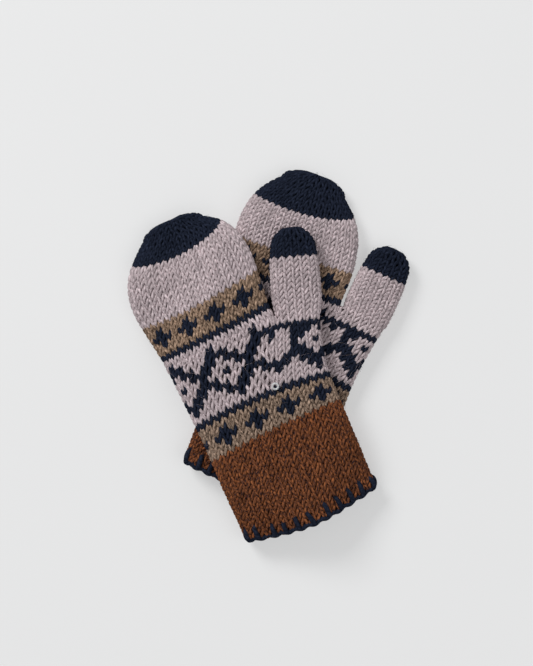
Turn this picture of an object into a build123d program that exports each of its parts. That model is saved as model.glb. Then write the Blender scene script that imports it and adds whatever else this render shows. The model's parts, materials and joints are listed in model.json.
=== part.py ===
"""A pair of hand-knit wool mittens, laid down crossed, one on the other.

Each mitten is a flattened tube of knitted rounds. It is made here band by band, in the order it
is knitted: cuff, lower cross band, lattice band with its thumb gusset, upper cross band, plain
band and tip cap, then the thumb's tube and cap. The lower mitten lies flat. The upper one drapes
over it and comes down to the same surface past its edges.

+X is to the right, +Y towards the finger tips and +Z up, with the origin under the middle.
"""

import math
import os

from build123d import *

# Driving dimensions, in millimetres and degrees.
cuff_width = 108.0
cuff_length = 70.0
cross_band_height = 23.0
lattice_height = 58.0
flat_thickness = 16.0
tip_thickness = 9.0
knit_wall = 4.0
settle = 0.4
fold_radius = 6.5
thumb_width = 38.0
thumb_thickness = 14.5
thumb_cap_length = 21.0
cap_height = 32.0
gather_height = 1.2
closed_tip_depth = 7.0

# The blanket stitch round each hem: an edge cord with upright bars.
bar_count = 11
bar_width = 2.4
bar_height = 10.0
stitch_thickness = 1.6
bar_clearance = 0.5
edge_cord_width = 3.2

# The clear plastic loop left in the knitting by a swing tag.
tag_loop_diameter = 6.0
tag_loop_thickness = 1.1

# Clearances.
body_gap = 0.3
seat_gap = 0.06
stack_gap = 0.5
drape_run = 42.0
edge_blend = 7.0

# Levels up a mitten from its hem.
cuff_top = cuff_length
lattice_bottom = cuff_top + cross_band_height
lattice_top = lattice_bottom + lattice_height
crotch_level = lattice_top - 3.0

STATION_STEP = 10.0
FAR = 400.0
SIDE_POINTS = 7
END_POINTS = 3


def between(points, at):
    """A smooth value at a place, from (place, value) points in order, with no overshoot."""
    steps = [
        (high - low) / (b - a) for (a, low), (b, high) in zip(points, points[1:])
    ]
    if at <= points[0][0]:
        return points[0][1]
    for i, ((a, low), (b, high)) in enumerate(zip(points, points[1:])):
        if at <= b:
            before = steps[i - 1] if i else steps[i]
            after = steps[i + 1] if i + 1 < len(steps) else steps[i]
            run = b - a
            share = (at - a) / run
            lean_in = shared_slope(before, steps[i]) * run
            lean_out = shared_slope(steps[i], after) * run
            rise = share * share * (3 - 2 * share)
            bow_in = share * (1 - share) ** 2
            bow_out = share * share * (share - 1)
            return low + (high - low) * rise + lean_in * bow_in + lean_out * bow_out
    return points[-1][1]


def shared_slope(one, other):
    """The slope where two steps meet: level at a peak, and never steeper than either allows."""
    return 0.0 if one * other <= 0 else 2 * one * other / (one + other)


def stations(start, end):
    """Evenly spaced levels from start to end, both included."""
    count = max(1, math.ceil((end - start) / STATION_STEP))
    return [start + (end - start) * i / count for i in range(count + 1)]


def oval(half_width, half_height, fold):
    """Points round a flattened tube: two shallow crowns joined by two round folds."""
    r = min(fold, 0.85 * half_width, 0.85 * half_height)
    reach = half_width - r
    crown = (reach**2 + half_height**2 - r**2) / (2 * (half_height - r))
    turn = math.asin(reach / (crown - r))
    arc = [i / SIDE_POINTS * turn for i in range(-SIDE_POINTS, SIDE_POINTS + 1)]
    top = [(crown * math.sin(a), half_height - crown + crown * math.cos(a)) for a in arc]
    sweep = math.pi - 2 * turn
    fold_arc = [turn + sweep * i / (END_POINTS + 1) for i in range(1, END_POINTS + 1)]
    right = [(reach + r * math.sin(a), r * math.cos(a)) for a in fold_arc]
    bottom = [(-x, -z) for x, z in top]
    left = [(-x, -z) for x, z in right]
    return top + right + bottom + left


class Mitten:
    """One mitten: where it lies, how it leans and how its fingers and thumb are shaped."""

    def __init__(self, name, hem, lean, fingers, thumb):
        self.name = name
        self.hem = hem
        self.lean = math.radians(lean)
        self.fingers = fingers
        self.thumb = thumb
        self.tip_level = lattice_top + fingers["length"]
        self.cap_level = self.tip_level - cap_height
        self.band_level = lattice_top + fingers["cross_band"]
        half = thumb_width / 2 * thumb["profile"][0][1]
        angle = math.radians(thumb["lean"])
        self.thumb_way = (math.sin(angle), math.cos(angle))
        self.crotch = self.finger_edges(lattice_top)[1], crotch_level
        self.thumb_left = self.crotch[0] + thumb["gap"], self.crotch[1]
        self.thumb_base = (
            self.thumb_left[0] + half * self.thumb_way[1],
            self.thumb_left[1] - half * self.thumb_way[0],
        )
        self.thumb_right = (
            self.thumb_base[0] + half * self.thumb_way[1],
            self.thumb_base[1] - half * self.thumb_way[0],
        )

    def plan(self, across, along):
        """The place on the table of a point given across and along this mitten."""
        c, s = math.cos(self.lean), math.sin(self.lean)
        return self.hem[0] + across * c - along * s, self.hem[1] + across * s + along * c

    def finger_edges(self, level):
        """The left and right edges of the hand above the crotch."""
        share = (level - lattice_top) / self.fingers["length"]
        half = self.fingers["width"] / 2 * between(self.fingers["profile"], share)
        middle = between(self.fingers["drift"], share)
        return middle - half, middle + half

    def palm_edges(self, level):
        """The left and right edges of the tube up to the crotch, thumb gusset included."""
        half = cuff_width / 2 * self.fingers["cuff_share"]
        left = between(
            [(0, -half), (cuff_top, -half), (lattice_top, self.finger_edges(lattice_top)[0])],
            level,
        )
        right = between(
            [
                (0, half),
                (lattice_bottom, half),
                (lattice_bottom + 0.4 * lattice_height, half + self.thumb["bulge"]),
                (self.thumb_right[1], self.thumb_right[0]),
                (lattice_top, self.thumb_right[0] + self.thumb["bulge"] / 2),
            ],
            level,
        )
        return left, right

    def tilt(self, level):
        """How far a round's thumb side rises, as a slope: the upper rounds run uphill."""
        return between([(lattice_bottom, 0), (lattice_top, self.fingers["tilt"])], level)

    def thickness(self, level):
        """The tube's thickness, thinner where the cap closes."""
        points = [(0, 0.94), (cuff_top, 1), (self.cap_level, 1), (self.tip_level, 0)]
        return tip_thickness + (flat_thickness - tip_thickness) * between(points, level)

    def rest_height(self, level):
        """The hem's stitching holds it a little off the table."""
        points = [(0, stitch_thickness + seat_gap), (2 * bar_height, 0)]
        return between(points, level)


lower_mitten = Mitten(
    "lower",
    hem=(-15.6, -96.9),
    lean=-20.0,
    fingers={
        "length": 89.0,
        "width": 96.0,
        "cross_band": 23.0,
        "cuff_share": 0.94,
        "tilt": 0.0,
        "profile": [(0, 0.9), (0.3, 1), (0.45, 0.98), (0.62, 0.9), (0.82, 0.62), (0.94, 0.33), (1, 0.15)],
        "drift": [(0, -22.5), (0.35, -26), (0.7, -27.5), (1, -29.5)],
    },
    thumb={
        "length": 61.0,
        "lean": 4.5,
        "gap": 2.8,
        "bulge": 2.5,
        "line_run": 8.0,
        "profile": [(0, 0.94), (0.15, 1), (0.6, 0.96), (0.8, 0.85), (0.93, 0.6), (1, 0.3)],
    },
)

upper_mitten = Mitten(
    "upper",
    hem=(34.4, -121.0),
    lean=23.0,
    fingers={
        "length": 98.5,
        "width": 101.5,
        "cross_band": 28.0,
        "cuff_share": 1.0,
        "tilt": 0.052,
        "profile": [
            (0, 0.886),
            (0.2, 0.94),
            (0.48, 1),
            (0.62, 0.955),
            (0.71, 0.885),
            (0.89, 0.53),
            (0.96, 0.29),
            (1, 0.14),
        ],
        "drift": [(0, -13.4), (0.45, -14.9), (0.7, -14.3), (0.88, -12.5), (1, -20.0)],
    },
    thumb={
        "length": 69.0,
        "lean": 18.7,
        "gap": 1.3,
        "bulge": 4.5,
        "line_run": 19.0,
        "profile": [(0, 0.88), (0.2, 1), (0.65, 0.95), (0.82, 0.84), (0.93, 0.6), (1, 0.3)],
    },
)


def box_distance(point, centre, half_size):
    """The distance from a point to an upright rectangle, both given along one mitten."""
    dx = abs(point[0] - centre[0]) - half_size[0]
    dy = abs(point[1] - centre[1]) - half_size[1]
    return math.hypot(max(dx, 0), max(dy, 0)) + min(max(dx, dy), 0)


def rod_distance(point, start, end, radius):
    """The distance from a point to a round-ended bar."""
    run = end[0] - start[0], end[1] - start[1]
    off = point[0] - start[0], point[1] - start[1]
    share = (off[0] * run[0] + off[1] * run[1]) / (run[0] ** 2 + run[1] ** 2)
    share = min(1, max(0, share))
    return math.hypot(off[0] - share * run[0], off[1] - share * run[1]) - radius


def lift_over_lower(x, y):
    """How high the upper mitten is held at a place on the table by the lower one."""
    m = lower_mitten
    c, s = math.cos(m.lean), math.sin(m.lean)
    dx, dy = x - m.hem[0], y - m.hem[1]
    here = dx * c + dy * s, -dx * s + dy * c
    half = cuff_width / 2 * m.fingers["cuff_share"]
    widest = m.fingers["width"] / 2
    knuckle = m.fingers["drift"][0][1] + 4, lattice_bottom
    finger_end = m.fingers["drift"][2][1], m.cap_level - widest / 2
    thumb_half = thumb_width / 2
    way = m.thumb_way
    thumb_end = m.thumb["length"] - thumb_half
    distances = [
        box_distance(here, (0, lattice_bottom / 2), (half, lattice_bottom / 2 + 2)),
        rod_distance(here, knuckle, finger_end, widest),
        rod_distance(
            here,
            (m.thumb_base[0] - 4, lattice_bottom),
            (m.thumb_base[0] + thumb_end * way[0], m.thumb_base[1] + thumb_end * way[1]),
            thumb_half,
        ),
    ]
    soft = -edge_blend * math.log(sum(math.exp(-d / edge_blend) for d in distances))
    share = min(1, max(0, 1 - soft / drape_run))
    stitched = between([(bar_height, stitch_thickness), (2 * bar_height, 0)], here[1])
    height = m.thickness(here[1]) + m.rest_height(here[1]) + stitched + stack_gap
    return height * share * share * (3 - 2 * share)


def ring(m, centre, way, half_width, thickness, base, grow):
    """The corners of one closed round of a tube, standing upright across the given way.

    grow moves the round outwards by that much all round, or inwards if it is negative.
    """
    corners = []
    for across, up in oval(half_width + grow, thickness / 2 + grow, fold_radius + grow):
        x, y = m.plan(centre[0] + across * way[1], centre[1] - across * way[0])
        lift = lift_over_lower(x, y) if m is upper_mitten else 0.0
        height = max(thickness / 2 + up, settle) - settle
        corners.append(Vector(x, y, base + height + lift))
    return corners


def hand_ring(m, edges, level, grow=0.0):
    """A round of the hand's tube at a level, between the edges that edges gives there."""
    left, right = edges(level)
    slope = m.tilt(level)
    angle = math.atan(slope)
    middle = (left + right) / 2
    centre = middle, level + slope * (middle - m.fingers["drift"][0][1])
    half = (right - left) / 2 / math.cos(angle)
    way = -math.sin(angle), math.cos(angle)
    return ring(m, centre, way, half, m.thickness(level), m.rest_height(level), grow)


def thumb_ring(m, share, grow=0.0):
    """A round of the thumb's tube, at a share of its length from base to tip."""
    along = share * m.thumb["length"]
    centre = (
        m.thumb_base[0] + along * m.thumb_way[0],
        m.thumb_base[1] + along * m.thumb_way[1],
    )
    half = thumb_width / 2 * between(m.thumb["profile"], share)
    taper = between([(0, 1), (0.7, 1), (1, 0)], share)
    thickness = tip_thickness - 1 + (thumb_thickness - tip_thickness + 1) * taper
    return ring(m, centre, m.thumb_way, half, thickness, 0.0, grow)


def facets(first, second):
    """Flat triangles between two rings that have the same number of corners."""
    faces = []
    for i in range(len(first)):
        a, b, c, d = first[i - 1], first[i], second[i], second[i - 1]
        faces += [polygon([a, b, c]), polygon([a, c, d])]
    return faces


def polygon(corners):
    """A flat face with these corners."""
    return Face(Wire.make_polygon(corners, close=True))


def rim(outer, inner):
    """The flat end of an open tube's wall, between its outer and inner rings."""
    return [
        polygon([outer[i - 1], outer[i], inner[i], inner[i - 1]]) for i in range(len(outer))
    ]


def walls(rings):
    """The side faces of a tube through these rings."""
    return [face for first, second in zip(rings, rings[1:]) for face in facets(first, second)]


def solid_of(faces):
    """The closed solid that these faces bound."""
    return Solid(Shell(faces))


def plug(rings):
    """A solid bar through these rings, closed by a flat face at each end."""
    return solid_of(walls(rings) + [polygon(rings[0]), polygon(rings[-1])])


def open_tube(make_ring, levels, outward=0.0, wall=knit_wall):
    """A knitted wall that is open at both ends."""
    outer = [make_ring(at, outward) for at in levels]
    inner = [make_ring(at, outward - wall) for at in levels]
    ends = rim(outer[0], inner[0]) + rim(outer[-1], inner[-1])
    return solid_of(walls(outer) + walls(inner) + ends)


def closed_tube(make_ring, levels):
    """A knitted wall that is open at its first level and closed at its last."""
    hollow_end = levels[-1] - closed_tip_depth
    hollow = [at for at in levels if at < hollow_end - 1] + [hollow_end]
    outer = [make_ring(at, 0.0) for at in levels]
    inner = [make_ring(at, -knit_wall) for at in hollow]
    ends = rim(outer[0], inner[0]) + [polygon(outer[-1]), polygon(inner[-1])]
    return solid_of(walls(outer) + walls(inner) + ends)


def prism(m, outline):
    """An upright block over an outline given across and along a mitten."""
    corners = [(*m.plan(*point), -FAR / 4) for point in outline]
    return Solid.extrude(Face(Wire.make_polygon(corners, close=True)), Vector(0, 0, FAR / 2))


def beyond(point, way, amount):
    """A point moved along a way."""
    return point[0] + way[0] * amount, point[1] + way[1] * amount


def gusset_line(m):
    """The two ends of the increase line between palm and thumb, run on past both."""
    start = m.crotch[0] - m.thumb["line_run"], lattice_bottom + 0.14 * lattice_height
    way = m.crotch[0] - start[0], m.crotch[1] - start[1]
    return beyond(start, way, -2.0), beyond(m.crotch, way, 1.0)


def palm_side(m):
    """Everything on the finger side of the gusset line."""
    low, high = gusset_line(m)
    return prism(m, [low, high, (high[0] - FAR, high[1]), (low[0] - FAR, low[1])])


def thumb_side(m):
    """Everything on the thumb side of the gusset line and below the thumb's first round."""
    low = beyond(gusset_line(m)[0], (1, 0), seat_gap)
    crotch = beyond(m.crotch, (1, 0), seat_gap)
    across = m.thumb_way[1], -m.thumb_way[0]
    first = beyond(m.thumb_left, across, -m.thumb["gap"] / 2)
    far = beyond(first, across, FAR / 2)
    return prism(m, [low, crotch, first, far, (far[0], low[1])])


def crown_height(m, level, across):
    """The top and bottom heights of a round of the palm's tube, off its middle by across."""
    left, right = m.palm_edges(level)
    half_width = (right - left) / 2
    half_height = m.thickness(level) / 2
    reach = half_width - fold_radius
    crown = (reach**2 + half_height**2 - fold_radius**2) / (2 * (half_height - fold_radius))
    rise = half_height - crown + math.sqrt(crown**2 - across**2)
    middle = m.rest_height(level) + half_height - settle
    return middle + rise, middle - rise


def bar(m, across, side):
    """One upright bar of the blanket stitch, on the cuff's top (side 0) or underside (side 1)."""
    outward = 1 - 2 * side
    rounds = []
    for level in (-edge_cord_width / 2, bar_height):
        corners = []
        for edge, height in ((-1, 0), (1, 0), (1, 1), (-1, 1)):
            x, y = m.plan(across + edge * bar_width / 2, level)
            face = max(crown_height(m, level, across)[side], m.rest_height(level))
            lift = lift_over_lower(x, y) if m is upper_mitten else 0.0
            stand = bar_clearance + height * (stitch_thickness - bar_clearance)
            corners.append(Vector(x, y, face + lift + outward * stand))
        rounds.append(corners)
    return plug(rounds)


def blanket_stitch(m):
    """The hem's stitching: an edge cord below the hem, and bars that stand on the cuff."""

    def hem(level, grow):
        return hand_ring(m, m.palm_edges, level, grow)

    cord_levels = [-edge_cord_width, -seat_gap]
    cord = open_tube(hem, cord_levels, outward=stitch_thickness, wall=edge_cord_width)
    width = m.palm_edges(0)[1] * 2 - 3 * fold_radius
    places = [width * (i / (bar_count - 1) - 0.5) for i in range(bar_count)]
    return cord.fuse(*[bar(m, across, side) for across in places for side in (0, 1)])


def gather(make_ring, start):
    """The yarn end drawn through the last stitches, as a small flat knot on the tip."""
    return plug([make_ring(start, -0.5), make_ring(start + gather_height, -1.5)])


def tag_loop(m):
    """A clear plastic loop that lies on the knitting at the foot of the gusset line."""
    start = m.crotch[0] - m.thumb["line_run"], lattice_bottom + 0.14 * lattice_height
    x, y = m.plan(*start)
    top = flat_thickness - settle + lift_over_lower(x, y) + tag_loop_thickness / 2 + seat_gap
    tube_radius = tag_loop_thickness / 2
    return Pos(x, y, top) * Torus(tag_loop_diameter / 2 - tube_radius, tube_radius)


def mitten_nodes(m):
    """Every node of one mitten, by name."""
    length = m.thumb["length"]
    thumb_cap_start = length - thumb_cap_length

    def hand(level, grow=0.0):
        return hand_ring(m, m.palm_edges, level, grow)

    def fingers(level, grow=0.0):
        return hand_ring(m, m.finger_edges, level, grow)

    def thumb(along, grow=0.0):
        return thumb_ring(m, along / length, grow)

    wide = open_tube(hand, stations(lattice_bottom, lattice_top))
    nodes = {
        "cuff": open_tube(hand, stations(0, cuff_top - body_gap)),
        "blanket_stitch": blanket_stitch(m),
        "lower_cross_band": open_tube(hand, stations(cuff_top, lattice_bottom)),
        "lattice_band": wide & palm_side(m),
        "thumb_gusset": wide & thumb_side(m),
        "upper_cross_band": open_tube(fingers, stations(lattice_top + body_gap, m.band_level)),
        "plain_band": open_tube(fingers, stations(m.band_level, m.cap_level)),
        "tip_cap": closed_tube(fingers, stations(m.cap_level, m.tip_level)),
        "tip_gather": gather(fingers, m.tip_level + seat_gap),
        "thumb_tube": open_tube(thumb, stations(body_gap, thumb_cap_start)),
        "thumb_cap": closed_tube(thumb, stations(thumb_cap_start, length)),
        "thumb_gather": gather(thumb, length + seat_gap),
    }
    return {f"{m.name}_{name}": solid for name, solid in nodes.items()}


def middle_of(nodes):
    """The middle of all the nodes on the table, which becomes the origin."""
    boxes = [solid.bounding_box() for solid in nodes.values()]
    low = Vector(min(b.min.X for b in boxes), min(b.min.Y for b in boxes), 0)
    high = Vector(max(b.max.X for b in boxes), max(b.max.Y for b in boxes), 0)
    return (low + high) / 2


def main():
    """Writes one STEP file for each node."""
    os.makedirs("parts", exist_ok=True)
    nodes = mitten_nodes(lower_mitten) | mitten_nodes(upper_mitten)
    nodes["upper_tag_loop"] = tag_loop(upper_mitten)
    shift = Pos(-middle_of(nodes))
    for name, solid in nodes.items():
        export_step(shift * solid, f"parts/{name}.step")


main()
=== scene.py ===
"""A pair of hand-knitted wool mittens, laid crossed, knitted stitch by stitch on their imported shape.

Lengths are in metres. A mitten's plan has x across it, y along it from its hem, and z up.
A round of knitting runs once round a flattened tube. Its share counts from 0 at the left edge,
over the front to 0.5 at the right edge, and over the back to 1.
"""

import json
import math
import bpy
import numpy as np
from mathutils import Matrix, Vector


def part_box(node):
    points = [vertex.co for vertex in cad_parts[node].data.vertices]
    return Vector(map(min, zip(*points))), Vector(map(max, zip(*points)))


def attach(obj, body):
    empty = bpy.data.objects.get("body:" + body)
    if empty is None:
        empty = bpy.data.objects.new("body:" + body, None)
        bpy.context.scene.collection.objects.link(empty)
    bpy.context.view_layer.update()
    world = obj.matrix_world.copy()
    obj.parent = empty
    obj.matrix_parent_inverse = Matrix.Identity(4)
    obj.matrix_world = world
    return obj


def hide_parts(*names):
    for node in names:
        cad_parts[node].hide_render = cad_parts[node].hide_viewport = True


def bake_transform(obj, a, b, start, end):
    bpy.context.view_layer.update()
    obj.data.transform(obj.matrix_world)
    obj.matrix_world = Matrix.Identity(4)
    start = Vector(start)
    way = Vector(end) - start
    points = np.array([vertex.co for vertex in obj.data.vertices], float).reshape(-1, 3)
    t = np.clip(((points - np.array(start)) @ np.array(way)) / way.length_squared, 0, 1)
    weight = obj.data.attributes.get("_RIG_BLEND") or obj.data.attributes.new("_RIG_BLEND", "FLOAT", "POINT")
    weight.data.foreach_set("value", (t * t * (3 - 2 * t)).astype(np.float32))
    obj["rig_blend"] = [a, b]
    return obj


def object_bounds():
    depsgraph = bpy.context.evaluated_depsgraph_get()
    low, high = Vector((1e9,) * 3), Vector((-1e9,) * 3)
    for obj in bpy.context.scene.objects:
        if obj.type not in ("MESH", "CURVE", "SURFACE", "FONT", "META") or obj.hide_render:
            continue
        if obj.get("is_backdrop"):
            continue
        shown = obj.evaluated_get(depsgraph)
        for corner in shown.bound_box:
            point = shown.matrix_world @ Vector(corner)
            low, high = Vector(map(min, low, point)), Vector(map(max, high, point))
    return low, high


bl_info = {
    "name": "Knitted mittens",
    "version": (1, 0, 0),
    "blender": (4, 5, 0),
    "location": "3D View > Sidebar > Mittens",
    "description": "Knits a crossed pair of patterned wool mittens on their packed shape",
    "category": "Object",
}

import bmesh
import bpy
import numpy as np
from mathutils import Vector

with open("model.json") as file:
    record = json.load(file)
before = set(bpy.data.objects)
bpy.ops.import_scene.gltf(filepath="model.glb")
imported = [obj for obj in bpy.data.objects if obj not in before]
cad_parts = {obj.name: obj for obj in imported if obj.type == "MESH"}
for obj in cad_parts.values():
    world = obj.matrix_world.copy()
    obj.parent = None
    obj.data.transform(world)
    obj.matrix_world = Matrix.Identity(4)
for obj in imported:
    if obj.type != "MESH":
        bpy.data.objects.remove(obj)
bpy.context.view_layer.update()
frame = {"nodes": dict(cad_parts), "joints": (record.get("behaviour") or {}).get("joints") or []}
NODES = frame["nodes"]
JOINTS = {joint["name"]: joint for joint in frame["joints"]}
MM = 0.001

# How finely a tube's surface is measured, and how much its facets are softened. HALF is the
# number of steps over one face. A tip's last stretch is rounded off and drawn in to its end.
HALF = 56
SECTION_SAMPLES = 90
SECTION_REACH = 0.998
RING_STEP = 2.5 * MM
END_MARGIN = 0.05 * MM
ROUND_SOFTENING = 1.6
LENGTH_SOFTENING = 2.0
TIP_RINGS = 7
HAND_TIP = {"lower": 10 * MM, "upper": 5.5 * MM}
THUMB_TIP = 14 * MM
THUMB_CAP_DROP = 4 * MM
TIP_TUCK = 2.5 * MM
THUMB_START = 0.5 * MM
TIP_OPENING = 0.06
TIP_THINNING = 0.12
TIP_FULLNESS = 3

# Points along each stitch of yarn, and how much thicker its legs are than its loops.
STITCH_STEPS = 14
LEG_SWELL = 0.16

# How far a hand's tension wanders: in rounds, in stitches, in depth and in thickness.
ROW_WANDER = 0.03
STITCH_WANDER = 0.03
DEPTH_WANDER = 0.06 * MM
THICKNESS_WANDER = 0.035

# U runs on from strand to strand by this, so that no two look alike.
STRAND_SHIFT = 37.3

# The reverse side: how much painted shade darkens it behind the stitches, how far past its band, and its
# grain in millimetres.
LINING_SHADE = -6.0
LINING_OVERLAP = 0.2
LINING_GRAIN = 180.0
MERGE = 0.01 * MM

# Stray hairs: how thick, how many to a round, how far they reach and how high they stand.
FIBRE = 0.06 * MM
FIBRES_PER_ROUND = 14
FIBRE_STEPS = 5
FIBRE_MARGIN = 0.2
FIBRE_REACH = 0.9
FIBRE_HEIGHT = (0.6 * MM, 1.8 * MM)
FIBRE_ROOT = 0.1 * MM
FIBRE_CURL = 0.7 * math.pi
FIBRE_BEND = 0.25
FIBRE_TAPER = 0.6

# The share at the middle of a hand's front, and left of its thumb.
FRONT_MIDDLE = 0.25
PALM_MIDDLE = 0.15

# Stitches over one face, from edge to edge, and the narrowest part of one at the gusset line.
HAND_STITCHES = 18
CUT_STITCH = 0.45
FEWEST_STITCHES = 3
GUSSET_STITCHES = 7
GUSSET_STITCH_WIDTH = 6 * MM
THUMB_STITCHES = 7

# Charts, top row first: a dot is the band's own wool and an X is navy.
PLAIN = ["."]
CROSS_CHART = ["....", "..X.", ".XXX", "..X.", "...."]
LATTICE_CHART = [
    "XXXXXX",
    "......",
    ".....X",
    "X...XX",
    "XX.XX.",
    ".XXX..",
    "..X..X",
    ".XXX..",
    "XX.XX.",
    "X...XX",
    ".....X",
    "......",
    "XXXXXX",
]
# The diamond that the gusset line cuts has no eye: its round, and the column it starts from.
EYE_ROW = 6
SEAM_COLUMN = 12
GUSSET_FOOT = ["..X..X.", "..XX...", ".XXXX.X", "XX.XXXX", "X...XX.", ".....X.", "......."]
GUSSET_CHARTS = {
    "upper": [".......", "XXXXXXX", "..XXX.X", "..XX..."] + GUSSET_FOOT,
    "lower": [".......", ".......", "XXXXXXX", "X.XX..."] + GUSSET_FOOT,
}


def unit(vector):
    return vector / np.linalg.norm(vector)


class Plan:
    """The level axes of one flattened tube."""

    def __init__(self, origin, across):
        self.across = unit(np.array([across[0], across[1], 0.0]))
        self.along = np.array([-self.across[1], self.across[0], 0.0])
        self.origin = np.array([origin[0], origin[1], 0.0])

    def flat(self, points):
        """Points of the object, on the plan."""
        moved = points - self.origin
        return np.stack([moved @ self.across, moved @ self.along, moved[..., 2]], -1)

    def placed(self, points):
        """Points of the plan, where they lie on the object."""
        level = points[..., :1] * self.across + points[..., 1:2] * self.along + self.origin
        level[..., 2] += points[..., 2]
        return level

    def spot(self, level):
        """Where the plan's middle line reaches a level."""
        return self.placed(np.array([0.0, level, 0.0]))


def triangles(plan, nodes):
    """The corners of the nodes' triangles on the plan."""
    found = []
    for name in nodes:
        mesh = NODES[name].data
        mesh.calc_loop_triangles()
        corners = np.zeros(len(mesh.vertices) * 3, np.float32)
        mesh.vertices.foreach_get("co", corners)
        index = np.zeros(len(mesh.loop_triangles) * 3, np.int32)
        mesh.loop_triangles.foreach_get("vertices", index)
        found.append(plan.flat(corners.reshape(-1, 3).astype(float))[index.reshape(-1, 3)])
    return np.concatenate(found)


def reach(plan, nodes):
    """The lowest and highest y of the nodes on the plan."""
    y = triangles(plan, nodes)[..., 1]
    return y.min(), y.max()


def cut(corners, level):
    """Where the triangles cross a level: the two (x, z) ends of each crossing."""
    height = corners[..., 1] - level
    above = height > 0
    crossing = above.any(1) & ~above.all(1)
    corners, height, above = corners[crossing], height[crossing], above[crossing]
    lone = np.where(above.sum(1) == 1, above.argmax(1), (~above).argmax(1))
    rows = np.arange(len(corners))
    ends = []
    for step in (1, 2):
        other = (lone + step) % 3
        share = height[rows, lone] / (height[rows, lone] - height[rows, other])
        start, end = corners[rows, lone], corners[rows, other]
        ends.append((start + (end - start) * share[:, None])[:, [0, 2]])
    return np.stack(ends, 1)


def even_steps(points, count):
    """The polyline's points again, at count even steps from its start, without its end."""
    gaps = np.linalg.norm(np.diff(points, axis=0), axis=1)
    walked = np.concatenate([[0.0], np.cumsum(gaps)])
    stops = np.linspace(0.0, walked[-1], count, endpoint=False)
    return np.stack([np.interp(stops, walked, points[:, k]) for k in range(points.shape[1])], 1)


def section(corners, level):
    """The outline of the tube at a level, as even (x, z) steps from its left edge round."""
    ends = cut(corners, level)
    left, right = ends[..., 0].min(), ends[..., 0].max()
    angles = np.linspace(math.pi, 0.0, SECTION_SAMPLES)
    x = (left + right) / 2 + (right - left) / 2 * SECTION_REACH * np.cos(angles)
    low, high = ends[..., 0].min(1), ends[..., 0].max(1)
    spans = (x[:, None] >= low) & (x[:, None] <= high)
    run = ends[:, 1, 0] - ends[:, 0, 0]
    slope = (ends[:, 1, 1] - ends[:, 0, 1]) / np.where(abs(run) < 1e-9, 1e-9, run)
    z = ends[:, 0, 1] + (x[:, None] - ends[:, 0, 0]) * slope
    z = np.clip(z, ends[..., 1].min(1), ends[..., 1].max(1))
    met = spans.any(1)
    front = np.interp(x, x[met], np.where(spans, z, -np.inf).max(1)[met])
    back = np.interp(x, x[met], np.where(spans, z, np.inf).min(1)[met])
    left_edge = [left, (front[0] + back[0]) / 2]
    right_edge = [right, (front[-1] + back[-1]) / 2]
    over = np.concatenate([[left_edge], np.stack([x, front], 1), [right_edge]])
    under = np.concatenate([[right_edge], np.stack([x, back], 1)[::-1], [left_edge]])
    return np.concatenate([even_steps(over, HALF), even_steps(under, HALF)])


def soften(values, width, axis, closed):
    """A running average with a bell-shaped weight."""
    span = int(math.ceil(width * 3))
    weights = np.exp(-0.5 * (np.arange(-span, span + 1) / width) ** 2)
    weights /= weights.sum()
    pads = [(0, 0)] * values.ndim
    pads[axis] = (span, span)
    mode = {"mode": "wrap"} if closed else {"mode": "reflect", "reflect_type": "odd"}
    padded = np.pad(values, pads, **mode)
    size = values.shape[axis]
    parts = [w * padded.take(range(k, k + size), axis) for k, w in enumerate(weights)]
    return sum(parts)


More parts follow.
